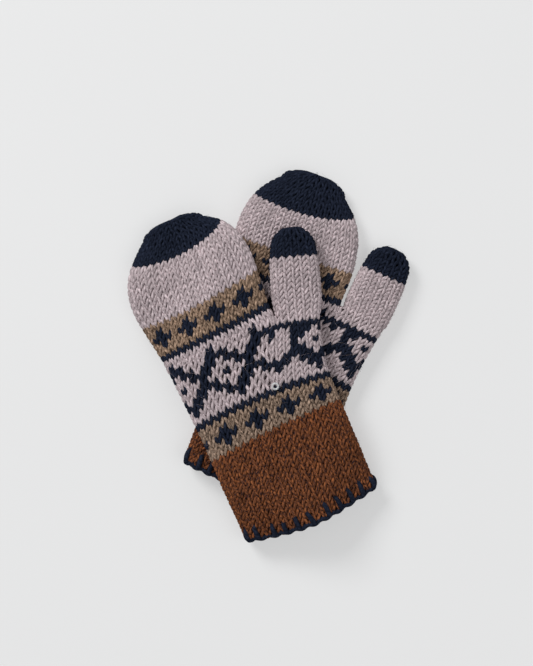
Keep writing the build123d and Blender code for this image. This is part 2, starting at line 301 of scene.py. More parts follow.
class Sleeve:
    """The outside of a flattened tube between two levels, measured from CAD nodes."""

    def __init__(self, plan, nodes, start, end, closes=0.0):
        self.plan = plan
        corners = triangles(plan, nodes)
        count = max(4, int((end - start) / RING_STEP))
        levels = np.linspace(start + END_MARGIN, end - END_MARGIN, count)
        rings = np.stack([section(corners, level) for level in levels])
        rings = soften(rings, ROUND_SOFTENING, 1, True)
        rings = soften(rings, LENGTH_SOFTENING, 0, False)
        rings = np.stack([rings[..., 0], levels[:, None] + 0 * rings[..., 0], rings[..., 1]], -1)
        if closes:
            rings, levels = self.close(rings, levels, closes)
        self.levels = levels
        self.rings = rings
        round_way = np.roll(rings, -1, 1) - np.roll(rings, 1, 1)
        length_way = np.gradient(rings, axis=0)
        normals = np.cross(round_way, length_way)
        self.normals = normals / np.linalg.norm(normals, axis=-1, keepdims=True)
        steps = np.linalg.norm(np.roll(rings, -1, 1) - rings, axis=-1)
        self.front_lengths = steps[:, :HALF].sum(1)

    def close(self, rings, levels, depth):
        """Rounds the last stretch of the tube off to its end."""
        end = levels[-1] - TIP_TUCK
        kept = levels <= end - depth
        rings, levels = rings[kept], levels[kept]
        last = rings[-1]
        middle = last.mean(0)
        for turn in np.linspace(0, math.pi / 2, TIP_RINGS + 1)[1:]:
            step = math.sin(turn)
            drawn = last.copy()
            narrow = max(math.cos(turn), TIP_OPENING)
            drawn[:, 0] = middle[0] + (last[:, 0] - middle[0]) * narrow
            flat = max((1 - step**TIP_FULLNESS) ** (1 / TIP_FULLNESS), TIP_THINNING)
            drawn[:, 2] = middle[2] + (last[:, 2] - middle[2]) * flat
            drawn[:, 1] = middle[1] + (end - middle[1]) * step
            rings = np.concatenate([rings, drawn[None]])
            levels = np.append(levels, drawn[0, 1])
        return rings, levels

    def width(self, level):
        return np.interp(level, self.levels, self.front_lengths)

    def at(self, share, level, lift=0.0):
        """Points on the sleeve, lifted off it."""
        share, level, lift = np.broadcast_arrays(
            np.asarray(share, float), np.asarray(level, float), np.asarray(lift, float)
        )
        row = np.interp(level, self.levels, np.arange(len(self.levels)))
        low = np.clip(row.astype(int), 0, len(self.levels) - 2)
        up = (row - low)[:, None]
        column = (share % 1.0) * 2 * HALF
        first = np.floor(column).astype(int) % (2 * HALF)
        second = (first + 1) % (2 * HALF)
        over = (column - np.floor(column))[:, None]

        def mixed(grid):
            near = grid[low, first] * (1 - over) + grid[low, second] * over
            far = grid[low + 1, first] * (1 - over) + grid[low + 1, second] * over
            return near * (1 - up) + far * up

        normal = mixed(self.normals)
        normal = normal / np.linalg.norm(normal, axis=1, keepdims=True)
        point = mixed(self.rings) + normal * lift[:, None]
        point[:, 1] += level - np.clip(level, self.levels[0], self.levels[-1])
        return self.plan.placed(point)


def sideways(share):
    """How far across a face a share lies: -1 at the left edge, 1 at the right edge."""
    share = np.asarray(share) % 1.0
    return np.where(share < 0.5, 4 * share - 1, 3 - 4 * share)


class Line:
    """A level that bows across the face, given at its left, middle and right."""

    def __init__(self, level, left=0.0, middle=0.0, right=0.0):
        self.left = level + left * MM
        self.middle = level + middle * MM
        self.right = level + right * MM

    def at(self, share):
        """The line's level at a share."""
        x = sideways(share)
        tilt = (self.right - self.left) / 2
        bow = (self.left + self.right) / 2 - self.middle
        return self.middle + tilt * x + bow * x * x


class Rounds:
    """Closed rounds of knitting between two bowed lines on a sleeve."""

    closed = True

    def __init__(
        self, sleeve, bottom, top, rows, chart=PLAIN, phase=0, stitches=HAND_STITCHES, narrows=False
    ):
        self.sleeve, self.bottom, self.top = sleeve, bottom, top
        self.rows, self.stitches, self.chart, self.phase = rows, stitches, chart, phase
        self.narrows = narrows

    def across(self, row):
        """The stitches over one face in a round."""
        if not self.narrows:
            return self.stitches
        start = self.sleeve.width(self.bottom.middle)
        here = self.sleeve.width(self.level(FRONT_MIDDLE, row + 0.5))
        return max(FEWEST_STITCHES, int(round(self.stitches * here / start)))

    def bounds(self, row):
        """The shares between a round's stitches."""
        return np.linspace(0.0, 1.0, 2 * self.across(row) + 1)

    def columns(self, row):
        return np.arange(2 * self.across(row)) - self.phase

    def level(self, share, row):
        part = np.asarray(row) / self.rows
        return self.bottom.at(share) * (1 - part) + self.top.at(share) * part

    def place(self, share, row, lift):
        return self.sleeve.at(share, self.level(share, row), lift)

    def row_height(self):
        return float(self.level(FRONT_MIDDLE, 1) - self.level(FRONT_MIDDLE, 0))

    def stitch_width(self, row):
        return float(self.sleeve.width(self.level(FRONT_MIDDLE, row)) / self.across(row))


class OpenRounds(Rounds):
    """Rounds over the hand side only, from the gusset line round the left edge and back."""

    closed = False

    def __init__(self, sleeve, seam, bottom, top, rows, chart, phase, widths):
        super().__init__(sleeve, bottom, top, rows, chart, phase)
        self.seam, self.widths = seam, widths

    def ends(self, row):
        level = self.seam.crossing(self, row)
        return -self.seam.share(level), self.seam.share(level)

    def pitch(self, row):
        width = self.widths[0] + (self.widths[1] - self.widths[0]) * row / self.rows
        return width / (2 * self.sleeve.width(self.level(PALM_MIDDLE, row)))

    def bounds(self, row):
        start, end = self.ends(row + 0.5)
        pitch = self.pitch(row)
        whole = int(end / pitch + CUT_STITCH)
        edges = np.arange(-whole, whole + 1) * pitch
        edges[0], edges[-1] = start, end
        return edges

    def columns(self, row):
        count = (len(self.bounds(row)) - 1) // 2
        columns = np.arange(-count, count)
        cut_eye = (abs(columns + 0.5) > SEAM_COLUMN) & (row == EYE_ROW)
        return np.where(cut_eye, 0, columns - self.phase)

    def stitch_width(self, row):
        return float(self.widths[0])


class Gusset(Rounds):
    """Rounds over the thumb side, from the gusset line round the right edge and back."""

    closed = False

    def __init__(self, sleeve, seam, low, high, rows, chart):
        self.sleeve, self.seam, self.rows, self.chart = sleeve, seam, rows, chart
        self.low, self.high = low, high

    def across(self, row):
        return GUSSET_STITCHES

    def bounds(self, row):
        return np.linspace(0.0, 2.0, 2 * GUSSET_STITCHES + 1)

    def columns(self, row):
        front = np.arange(GUSSET_STITCHES)
        return np.concatenate([front, front[::-1]])

    def place(self, share, row, lift):
        turned = np.where(share > 1.0, 2.0 - share, share)
        part = np.broadcast_to(np.asarray(row, float) / self.rows, turned.shape)
        inner = self.low[0] * (1 - part) + self.high[0] * part
        outer = self.low[1] * (1 - part) + self.high[1] * part
        level = inner * (1 - turned) + outer * turned
        start = self.seam.share(inner)
        front = start + (0.5 - start) * turned
        return self.sleeve.at(np.where(share > 1.0, 1.0 - front, front), level, lift)

    def row_height(self):
        rise = (self.high[0] + self.high[1] - self.low[0] - self.low[1]) / 2
        return float(rise / self.rows)

    def stitch_width(self, row):
        return GUSSET_STITCH_WIDTH


class Seam:
    """The line of increases, where the gusset meets the hand, on the front."""

    def __init__(self, sleeve, gusset_node):
        corners = triangles(sleeve.plan, [gusset_node])
        low, high = corners[..., 1].min(), corners[..., 1].max()
        met = (sleeve.levels > low + MM) & (sleeve.levels < high - MM)
        self.levels = sleeve.levels[met]
        steps = [
            np.interp(cut(corners, level)[..., 0].min(), ring[:HALF, 0], np.arange(HALF))
            for level, ring in zip(self.levels, sleeve.rings[met])
        ]
        self.shares = np.array(steps) / (2 * HALF)

    def share(self, level):
        return np.interp(level, self.levels, self.shares)

    def crossing(self, rounds, row):
        """The level where a round meets the seam."""
        above = rounds.level(self.shares, row) - self.levels
        return float(np.interp(0.0, -above, self.levels))


def stitch_strand(rounds, row, rng, sizes):
    """One round of yarn: the line it follows, its thickness and the stitch of each point."""
    bounds = rounds.bounds(row)
    count = len(bounds) - 1
    closed = rounds.closed
    turn = np.arange(count * STITCH_STEPS + (0 if closed else 1)) / STITCH_STEPS

    def wander(size):
        """A small wander along the round, one step to a stitch."""
        steps = rng.normal(0.0, size, count + 1)
        if closed:
            steps[-1] = steps[0]
        return np.interp(turn, np.arange(count + 1), steps)

    stitch = np.minimum(turn.astype(int), count - 1)
    part = turn - stitch
    width = np.diff(bounds)[stitch]
    rise = -sizes.loop_reach * np.cos(2 * math.pi * part) + wander(ROW_WANDER)
    sway = sizes.leg_spread * np.sin(4 * math.pi * part)
    lean = math.tan(sizes.leg_lean) * rounds.row_height() / rounds.stitch_width(row)
    share = bounds[stitch] + width * (part + sway + lean * rise)
    share = share + width * wander(STITCH_WANDER)
    lift = -sizes.loop_depth * np.cos(4 * math.pi * part) - sizes.bed_depth
    lift = lift + wander(DEPTH_WANDER)
    points = rounds.place(share, row + 0.5 + rise, lift)
    plump = 1.0 - LEG_SWELL * np.cos(4 * math.pi * part)
    plump = plump * (1.0 + wander(THICKNESS_WANDER))
    tones = rng.normal(0.0, 1.0, count)
    colours = [chart_colour(rounds, column, row) for column in rounds.columns(row)]
    return {
        "points": points,
        "radius": plump * sizes.yarn_thickness / 2,
        "closed": closed,
        "colour": np.array(colours)[stitch],
        "tone": tones[stitch],
    }


def chart_colour(rounds, column, row):
    """1 where the chart has navy and 0 where it has the band's own wool."""
    chart = rounds.chart
    line = chart[(len(chart) - 1 - row) % len(chart)]
    return int(line[int(column) % len(line)] == "X")


def colour_at(rounds, row, share):
    """The chart's colour where a round passes a share."""
    edges = rounds.bounds(row)
    column = int(np.clip(np.searchsorted(edges, share) - 1, 0, len(edges) - 2))
    return chart_colour(rounds, rounds.columns(row)[column], row)


def yarn_mesh(name, strands, sides=1):
    """Every strand as round yarn, with its length in millimetres along U."""
    curve = bpy.data.curves.new(name, "CURVE")
    curve.dimensions = "3D"
    curve.bevel_depth = 1.0
    curve.bevel_resolution = sides
    for strand in strands:
        spline = curve.splines.new("POLY")
        points = strand["points"]
        spline.points.add(len(points) - 1)
        corners = np.ones((len(points), 4), np.float32)
        corners[:, :3] = points
        spline.points.foreach_set("co", corners.ravel())
        spline.points.foreach_set("radius", strand["radius"].astype(np.float32))
        spline.use_cyclic_u = bool(strand["closed"])
    holder = bpy.data.objects.new(name, curve)
    bpy.context.scene.collection.objects.link(holder)
    graph = bpy.context.evaluated_depsgraph_get()
    mesh = bpy.data.meshes.new_from_object(holder.evaluated_get(graph), depsgraph=graph)
    bpy.data.objects.remove(holder)
    bpy.data.curves.remove(curve)
    colour_yarn(mesh, strands, 4 + 2 * sides)
    bm = bmesh.new()
    bm.from_mesh(mesh)
    bmesh.ops.holes_fill(bm, edges=[edge for edge in bm.edges if edge.is_boundary], sides=0)
    bm.to_mesh(mesh)
    bm.free()
    return mesh


def colour_yarn(mesh, strands, sides):
    """Gives each stitch its wool and tone, and runs U along each strand."""
    counts = np.array([len(strand["points"]) for strand in strands])
    tone = np.concatenate([np.repeat(strand["tone"], sides) for strand in strands])
    colour = np.concatenate([np.repeat(strand["colour"], sides) for strand in strands])
    strand_of = np.repeat(np.arange(len(strands)), counts * sides)
    lengths = [
        np.linalg.norm(np.diff(strand["points"], axis=0), axis=1).sum() / MM for strand in strands
    ]
    loops = np.zeros(len(mesh.loops), np.int32)
    mesh.loops.foreach_get("vertex_index", loops)
    starts = np.zeros(len(mesh.polygons), np.int32)
    mesh.polygons.foreach_get("loop_start", starts)
    mesh.polygons.foreach_set("material_index", colour[loops[starts]].astype(np.int32))
    mesh.polygons.foreach_set("use_smooth", np.ones(len(starts), bool))
    attribute = mesh.attributes.new("tone", "FLOAT", "POINT")
    attribute.data.foreach_set("value", tone.astype(np.float32))
    layer = mesh.uv_layers[0].data
    uv = np.zeros(len(mesh.loops) * 2, np.float32)
    layer.foreach_get("uv", uv)
    uv = uv.reshape(-1, 2)
    owner = strand_of[loops]
    uv[:, 0] = uv[:, 0] * np.array(lengths)[owner] + owner * STRAND_SHIFT
    layer.foreach_set("uv", uv.ravel())


def lining(mesh, rounds, sizes):
    """Adds the reverse side of the knitting behind the stitches, in the same wools, darkened with painted
    shade.
    """
    bm = bmesh.new()
    bm.from_mesh(mesh)
    tone = bm.verts.layers.float["tone"]
    uv = bm.loops.layers.uv[0]
    made = bmesh.ops.create_grid(
        bm, x_segments=4 * rounds.across(0), y_segments=2 * rounds.rows, size=0.5
    )
    verts = made["verts"]
    grid = np.array([vert.co[:2] for vert in verts]) + 0.5
    row = grid[:, 1] * (rounds.rows + 2 * LINING_OVERLAP) - LINING_OVERLAP
    share = np.zeros(len(verts))
    for level in np.unique(np.round(row, 5)):
        here = abs(row - level) < 1e-4
        edges = rounds.bounds(int(np.clip(level, 0, rounds.rows - 1)))
        share[here] = edges[0] + grid[here, 0] * (edges[-1] - edges[0])
    places = rounds.place(share, row, np.full(len(verts), -sizes.lining_depth))
    for vert, place in zip(verts, places):
        vert.co = place
        # Painted shade: the reverse side is darkened as if shaded by the stitches over it.
        vert[tone] = LINING_SHADE
    where = {vert: number for number, vert in enumerate(verts)}
    for face in {face for vert in verts for face in vert.link_faces}:
        face.smooth = True
        across, along = grid[[where[vert] for vert in face.verts]].mean(0)
        here = int(np.clip(along * rounds.rows, 0, rounds.rows - 1))
        edges = rounds.bounds(here)
        face.material_index = colour_at(rounds, here, edges[0] + across * (edges[-1] - edges[0]))
        for loop in face.loops:
            loop[uv].uv = grid[where[loop.vert]] * LINING_GRAIN
    if rounds.closed:
        bmesh.ops.remove_doubles(bm, verts=verts, dist=MERGE)
    bm.to_mesh(mesh)
    bm.free()


def add_piece(name, mesh, materials):
    """The mesh as a piece that stands for the CAD node of the same name."""
    for material in materials:
        mesh.materials.append(material)
    piece = bpy.data.objects.new("knit_" + name, mesh)
    bpy.context.scene.collection.objects.link(piece)
    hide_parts(name)
    return piece


def stray_fibres(rounds, rng, count):
    """Fine hairs that stand off the wool and bend back."""
    fibres = []
    step = np.linspace(0.0, 1.0, FIBRE_STEPS)
    edges = rounds.bounds(0)
    for _ in range(count):
        row = rng.uniform(FIBRE_MARGIN, rounds.rows - FIBRE_MARGIN)
        share = rng.uniform(edges[0], edges[-1])
        rise = rng.normal(0.0, FIBRE_REACH)
        sway = rng.normal(0.0, FIBRE_REACH) * (edges[1] - edges[0])
        lift = FIBRE_ROOT + rng.uniform(*FIBRE_HEIGHT) * np.sin(step * FIBRE_CURL)
        bend = step + rng.normal(0.0, FIBRE_BEND) * step * step
        points = rounds.place(
            share + sway * step, np.clip(row + rise * bend, 0, rounds.rows), lift
        )
        strand = plain_strand(points, FIBRE * (1 - FIBRE_TAPER * step), tone=1.0)
        strand["colour"] += colour_at(rounds, int(min(row, rounds.rows - 1)), share)
        fibres.append(strand)
    return fibres


def knit(name, rounds, slots, seed):
    """One band of knitting in its own wool and, where a chart needs it, navy."""
    rng = np.random.default_rng(seed)
    sizes = bpy.context.scene.yarn_sizes
    strands = [stitch_strand(rounds, row, rng, sizes) for row in range(rounds.rows)]
    return finish_band(name, rounds, slots, rng, strands)


def finish_band(name, rounds, slots, rng, strands):
    """The band's strands with stray hairs and a reverse side, as a piece."""
    strands += stray_fibres(rounds, rng, FIBRES_PER_ROUND * rounds.rows)
    mesh = yarn_mesh(name, strands)
    lining(mesh, rounds, bpy.context.scene.yarn_sizes)
    return add_piece(name, mesh, [wools()[slot] for slot in slots])


# The nodes that each tube's surface is measured from.
HAND_BANDS = ("cuff", "lower_cross_band", "lattice_band", "thumb_gusset", "thumb_tube")
FINGER_BANDS = ("lattice_band", "upper_cross_band", "plain_band", "tip_cap")
THUMB_BANDS = ("thumb_tube", "thumb_cap")

# How each line of knitting bows off its level, in millimetres at the left, middle and right.
BOWS = {
    "upper": {
        "hem": (3.8, -2.3, 3.8),
        "cuff_top": (-2.4, 3.0, 3.7),
        "lattice_bottom": (-1.5, 2.6, -2.3),
        "lattice_top": (0.9, 3.2, 7.8),
        "cross_top": (-2.0, -2.7, 5.0),
        "cap_start": (6.5, -0.5, 12.0),
    },
    "lower": {
        "hem": (2.0, -1.5, 2.0),
        "cuff_top": (-1.0, 1.0, 1.0),
        "lattice_bottom": (-1.5, 1.0, -2.3),
        "lattice_top": (0.9, 1.2, 3.8),
        "cross_top": (-1.0, -1.0, 2.0),
        "cap_start": (0.0, -3.0, 9.0),
    },
}

# How many columns each chart is moved along, and the rounds in each band.
LOWER_CROSS_PHASE, LATTICE_PHASE, UPPER_CROSS_PHASE = 1, 2, 0
CUFF_ROWS, CROSS_ROWS, LATTICE_ROWS, PLAIN_ROWS, CAP_ROWS = 16, 5, 13, 9, 8
THUMB_ROWS, THUMB_CAP_ROWS, GUSSET_ROWS = 11, 6, 11

# How much of the knitting bends with each fold.
FINGER_BLEND = 39 * MM
THUMB_BLEND = 25 * MM
CUFF_BLEND = 35 * MM


class Mitten:
    """One mitten's plan, sleeves and lines, measured from its CAD nodes and joints."""

    def __init__(self, side):
        self.side = side
        fold = JOINTS[side + "_cuff_fold"]
        self.plan = Plan(fold["pos_m"], [-fold["axis"][0], -fold["axis"][1]])
        self.hem = 0.0
        low = reach(self.plan, [self.full("cuff")])[0]
        self.plan.origin = self.plan.origin + self.plan.along * low
        self.cuff_top = self.top("cuff")
        self.lattice_bottom = self.top("lower_cross_band")
        self.lattice_top = self.top("lattice_band")
        self.cross_top = self.top("upper_cross_band")
        self.cap_start = self.top("plain_band")
        self.tip = self.top("tip_cap")
        self.crotch = self.top("thumb_gusset")
        thumb = JOINTS[side + "_thumb_fold"]
        self.thumb_plan = Plan(thumb["pos_m"], thumb["axis"])
        self.hand = Sleeve(self.plan, self.nodes(HAND_BANDS), 0.0, self.crotch)
        self.fingers = Sleeve(
            self.plan, self.nodes(FINGER_BANDS), self.crotch + MM, self.tip, HAND_TIP[side]
        )
        self.thumb_split = reach(self.thumb_plan, [self.full("thumb_tube")])[1] - THUMB_CAP_DROP
        self.thumb_tip = reach(self.thumb_plan, [self.full("thumb_cap")])[1]
        self.thumb = Sleeve(
            self.thumb_plan, self.nodes(THUMB_BANDS), THUMB_START, self.thumb_tip, THUMB_TIP
        )
        self.seam = Seam(self.hand, self.full("thumb_gusset"))

    def full(self, name):
        """The full name of this mitten's node or body."""
        return self.side + "_" + name

    def nodes(self, names):
        return [self.full(name) for name in names]

    def top(self, name):
        """The highest y of a node on the plan."""
        return reach(self.plan, [self.full(name)])[1]

    def line(self, name):
        """The bowed line where a band ends."""
        return Line(getattr(self, name), *BOWS[self.side][name])


MITTENS = {side: Mitten(side) for side in ("lower", "upper")}


def feed(tree, socket, value):
    """Links a socket to another node's, or gives it a plain value."""
    if isinstance(value, bpy.types.NodeSocket):
        tree.links.new(value, socket)
    else:
        socket.default_value = value


def add_node(tree, kind, inputs, output):
    """One output of a new node whose inputs are fed by name."""
    node = tree.nodes.new(kind)
    for name, value in inputs.items():
        feed(tree, node.inputs[name], value)
    return node.outputs[output]


def calculate(tree, operation, *values):
    """The result of one step of arithmetic."""
    node = tree.nodes.new("ShaderNodeMath")
    node.operation = operation
    for socket, value in zip(node.inputs, values):
        feed(tree, socket, value)
    return node.outputs["Value"]


def mix_colours(tree, factor, first, second):
    """A mixed colour. The node's sockets share names with other kinds, so they go by number."""
    node = tree.nodes.new("ShaderNodeMix")
    node.data_type = "RGBA"
    for number, value in ((0, factor), (6, first), (7, second)):
        feed(tree, node.inputs[number], value)
    return node.outputs[2]


def stretch(tree, value, low, high, to_low=0.0, to_high=1.0):
    """The value, with one range laid over another."""
    ranges = {"From Min": low, "From Max": high, "To Min": to_low, "To Max": to_high}
    return add_node(tree, "ShaderNodeMapRange", {"Value": value, **ranges}, "Result")


def yarn_noise(tree, uv, scales, size, detail):
    """Noise drawn out along a yarn."""
    place = add_node(tree, "ShaderNodeMapping", {"Vector": uv, "Scale": scales}, "Vector")
    settings = {"Vector": place, "Scale": size, "Detail": detail}
    return add_node(tree, "ShaderNodeTexNoise", settings, "Fac")


def new_group(name, colours, numbers, outputs):
    """A node group with its sockets, and what it is given and gives out."""
    group = bpy.data.node_groups.new(name, "ShaderNodeTree")
    for socket in colours:
        group.interface.new_socket(socket, in_out="INPUT", socket_type="NodeSocketColor")
    for socket, value in numbers.items():
        made = group.interface.new_socket(socket, in_out="INPUT", socket_type="NodeSocketFloat")
        made.default_value = value
    for socket, kind in outputs.items():
        group.interface.new_socket(socket, in_out="OUTPUT", socket_type=kind)
    given = group.nodes.new("NodeGroupInput")
    out = group.nodes.new("NodeGroupOutput")
    return group, given.outputs, out.inputs


# Streaks and flecks: how they are drawn out, and how sharply they show.
STREAK_SCALES = (0.55, 5.0, 1.0)
STREAK_LOW, STREAK_HIGH = 0.35, 0.65
FLECK_SCALES = (0.8, 3.0, 1.0)
FLECK_SIZE = 0.9
FLECK_LEVEL = 0.80
TONE_STRENGTH = 0.07


def wool_colour_group():
    """Heathered wool: streaks along the yarn, a tone for each stitch that also carries the reverse side's
    painted shade, and stray flecks.
    """
    group, given, out = new_group(
        "Heathered wool", ("Main", "Deep", "Light", "Fleck"),
        {"Heather": 0.5, "Fleck share": 0.05}, {"Colour": "NodeSocketColor"},
    )
    uv = add_node(group, "ShaderNodeUVMap", {}, "UV")
    streak = yarn_noise(group, uv, STREAK_SCALES, 1.0, 4.0)
    streak = stretch(group, streak, STREAK_LOW, STREAK_HIGH)
    streaked = mix_colours(group, streak, given["Deep"], given["Light"])
    base = mix_colours(group, given["Heather"], given["Main"], streaked)
    tone = group.nodes.new("ShaderNodeAttribute")
    tone.attribute_name = "tone"
    # The tone brightens or darkens each stitch at random; on the reverse side it is painted shade.
    bright = calculate(group, "MULTIPLY_ADD", tone.outputs["Fac"], TONE_STRENGTH, 1.0)
    toned = group.nodes.new("ShaderNodeVectorMath")
    toned.operation = "SCALE"
    feed(group, toned.inputs[0], base)
    feed(group, toned.inputs["Scale"], bright)
    level = calculate(group, "SUBTRACT", FLECK_LEVEL, given["Fleck share"])
    fleck = yarn_noise(group, uv, FLECK_SCALES, FLECK_SIZE, 1.0)
    fleck = calculate(group, "GREATER_THAN", fleck, level)
    flecked = mix_colours(group, fleck, toned.outputs["Vector"], given["Fleck"])
    feed(group, out["Colour"], flecked)
    return group


# Fine fibres over the plies, how deep the plies stand against them, and where the painted shade in the
# grooves between plies begins and is deepest.
FIBRE_SCALES = (0.8, 14.0, 1.0)
FIBRE_SIZE = 1.6
PLY_HEIGHT = 0.5
GROOVE_START, GROOVE_END = -0.2, -1.0


def yarn_twist_group():
    """The height of spun plies round a yarn, with fine fibres over them, and a mask of the grooves between
    plies for painted shade.
    """
    group, given, out = new_group(
        "Spun plies", (), {"Turns per mm": 0.22, "Plies": 2.0},
        {"Height": "NodeSocketFloat", "Groove": "NodeSocketFloat"},
    )
    uv = add_node(group, "ShaderNodeUVMap", {}, "UV")
    parts = group.nodes.new("ShaderNodeSeparateXYZ")
    feed(group, parts.inputs["Vector"], uv)
    along = calculate(group, "MULTIPLY", parts.outputs["X"], given["Turns per mm"])
    around = calculate(group, "MULTIPLY", parts.outputs["Y"], given["Plies"])
    turns = calculate(group, "ADD", along, around)
    wave = calculate(group, "SINE", calculate(group, "MULTIPLY", turns, 2 * math.pi))
    fibre = yarn_noise(group, uv, FIBRE_SCALES, FIBRE_SIZE, 3.0)
    feed(group, out["Height"], calculate(group, "MULTIPLY_ADD", wave, PLY_HEIGHT, fibre))
    feed(group, out["Groove"], stretch(group, wave, GROOVE_START, GROOVE_END))
    return group


def place_group(tree, name, maker, inputs):
    """The outputs of the node group of that name, made once, with its own values here."""
    node = tree.nodes.new("ShaderNodeGroup")
    node.node_tree = bpy.data.node_groups.get(name) or maker()
    for socket, value in inputs.items():
        feed(tree, node.inputs[socket], value)
    return node.outputs


def new_material(name, values):
    """A material, its nodes and its shader's inputs, with the plain ones set."""
    material = bpy.data.materials.new(name)
    material.use_nodes = True
    inputs = material.node_tree.nodes["Principled BSDF"].inputs
    for socket, value in values.items():
        inputs[socket].default_value = value
    return material, material.node_tree, inputs


# The painted shade in the grooves between plies, and the bump of the plies.
GROOVE_SHADE_STRENGTH = 0.35
BUMP_STRENGTH = 0.7
BUMP_DISTANCE = 0.35 * MM


def wool(name, main, deep, light, heather, sheen, fleck=(0.0, 0.0, 0.0), fleck_share=0.0):
    """One dyed wool, with painted shade in the grooves between its plies."""
    material, tree, shader = new_material(name, {
        "Roughness": 0.92,
        "Specular IOR Level": 0.0,
        "Sheen Weight": sheen,
        "Sheen Roughness": 0.5,
        "Sheen Tint": (*light, 1.0),
    })
    colour = place_group(tree, "Heathered wool", wool_colour_group, {
        "Main": (*main, 1.0),
        "Deep": (*deep, 1.0),
        "Light": (*light, 1.0),
        "Fleck": (*fleck, 1.0),
        "Heather": heather,
        "Fleck share": fleck_share,
    })
    twist = place_group(tree, "Spun plies", yarn_twist_group, {})
    # Painted shade: the grooves between the plies are darkened towards half the deep streak colour.
    groove_shade = calculate(tree, "MULTIPLY", twist["Groove"], GROOVE_SHADE_STRENGTH)
    groove_shaded = mix_colours(tree, groove_shade, colour["Colour"], (*shade(deep, 0.5), 1.0))
    feed(tree, shader["Base Color"], groove_shaded)
    bumps = {"Strength": BUMP_STRENGTH, "Distance": BUMP_DISTANCE, "Height": twist["Height"]}
    feed(tree, shader["Normal"], add_node(tree, "ShaderNodeBump", bumps, "Normal"))
    return material


def linear(colour):
    """A given colour, as the light it reflects."""
    return tuple(c / 12.92 if c < 0.04045 else ((c + 0.055) / 1.055) ** 2.4 for c in colour)


def shade(colour, factor):
    """The colour made darker or lighter."""
    return tuple(min(1.0, part * factor) for part in colour)


# Each plain wool's streaks against its dye, darkest and lightest, then their share and the sheen.
HEATHERS = {
    "pale": (0.45, 1.35, 0.75, 0.12),
    "navy": (0.4, 1.8, 0.6, 0.03),
    "ochre": (0.2, 2.0, 0.9, 0.08),
    "taupe": (0.22, 1.95, 0.9, 0.08),
}

# The tweed's charcoal and orange streaks, and its red flecks.
TWEED_DEEP = linear((0.12, 0.12, 0.15))
TWEED_LIGHT = linear((0.63, 0.385, 0.235))
TWEED_FLECK = (0.30, 0.02, 0.01)
TWEED_HEATHER, TWEED_SHEEN, TWEED_FLECK_SHARE = 0.95, 0.05, 0.03

SPUN = {
    "pale_wool": "spun_pale",
    "navy_wool": "spun_navy",
    "rust_tweed_wool": "spun_rust",
    "ochre_wool": "spun_ochre",
    "taupe_wool": "spun_taupe",
}


def dye_wools(dyes):
    """Makes the five wools."""
    for name, (deep, light, heather, sheen) in HEATHERS.items():
        main = tuple(getattr(dyes, name))
        wool("spun_" + name, main, shade(main, deep), shade(main, light), heather, sheen)
    wool(
        "spun_rust", tuple(dyes.rust), TWEED_DEEP, TWEED_LIGHT, TWEED_HEATHER, TWEED_SHEEN,
        TWEED_FLECK, TWEED_FLECK_SHARE,
    )


def wools():
    """The five dyed wools by slot, made once."""
    if not bpy.data.materials.get(SPUN["pale_wool"]):
        dye_wools(bpy.context.scene.yarn_colours)
    return {slot: bpy.data.materials[spun] for slot, spun in SPUN.items()}


def length(name, default, description):
    """A length that a maker may change."""
    return bpy.props.FloatProperty(
        name=name, description=description, default=default, unit="LENGTH"
    )


class YarnSizes(bpy.types.PropertyGroup):
    """How the yarn lies in a stitch."""

    yarn_thickness: length("Yarn thickness", 2.3 * MM, "Width of the spun yarn")
    loop_depth: length("Loop depth", 1.05 * MM, "How far a loop dips behind its legs")
    bed_depth: length("Bed depth", 1.5 * MM, "How far the middle of the yarn lies inside")
    lining_depth: length("Lining depth", 3.0 * MM, "How far the reverse side lies inside")
    loop_reach: bpy.props.FloatProperty(
        name="Loop reach", description="Half the height of a loop, in rounds", default=0.92
    )
    leg_spread: bpy.props.FloatProperty(
        name="Leg spread", description="How far a leg leans out, as a share of a stitch",
        default=0.235,
    )
    leg_lean: bpy.props.FloatProperty(
        name="Leg lean", description="How far every stitch leans to the right",
        default=math.radians(17), subtype="ANGLE",
    )


def dye(name, description, picked):
    """A wool's colour, as given."""
    return bpy.props.FloatVectorProperty(
        name=name, description=description, default=linear(picked), size=3, subtype="COLOR"
    )


class YarnColours(bpy.types.PropertyGroup):
    """The dyes."""

    pale: dye("Pale", "The warm pale grey wool", (0.805, 0.742, 0.752))
    navy: dye("Navy", "The ink blue wool", (0.135, 0.155, 0.21))
    rust: dye("Rust", "The rust tweed wool of the cuffs", (0.46, 0.27, 0.16))
    ochre: dye("Ochre", "The golden wool of the upper band", (0.575, 0.482, 0.41))
    taupe: dye("Taupe", "The greyish wool of the lower band", (0.57, 0.487, 0.425))


class StageSettings(bpy.types.PropertyGroup):
    """The camera's lens, and the floor that it sees."""

    lens: bpy.props.FloatProperty(name="Lens", description="Focal length", default=85.0)
    field: length("Field", 0.506, "Height of floor in the picture")
    aim_x: length("Aim across", -0.0011, "Middle of the picture")
    aim_y: length("Aim along", 0.01825, "Middle of the picture")


class Maker(bpy.types.Operator):
    """Shared by every operator that makes a piece for each mitten"""

    bl_idname = "mittens.maker"
    bl_label = "Maker"
    bl_options = {"REGISTER", "UNDO"}

    def execute(self, context):
        for number, mitten in enumerate(MITTENS.values()):
            self.make(mitten, number)
        return {"FINISHED"}

    def make(self, mitten, number):
        raise NotImplementedError(self.bl_idname)


def bend(piece, mitten, body, plan, start, reach):
    """Lets the knitting bend from the palm's body to a folding one, over a stretch of its plan."""
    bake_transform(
        piece, mitten.full("palm"), mitten.full(body), plan.spot(start), plan.spot(start + reach)
    )


class KnitCuffs(Maker):
    """Knit the rust tweed cuffs"""

    bl_idname = "mittens.knit_cuffs"
    bl_label = "Cuffs"

    def make(self, mitten, number):
        rounds = Rounds(mitten.hand, mitten.line("hem"), mitten.line("cuff_top"), CUFF_ROWS)
        piece = knit(mitten.full("cuff"), rounds, ["rust_tweed_wool"], 10 + number)
        bend(piece, mitten, "cuff", mitten.plan, mitten.cuff_top, -CUFF_BLEND)


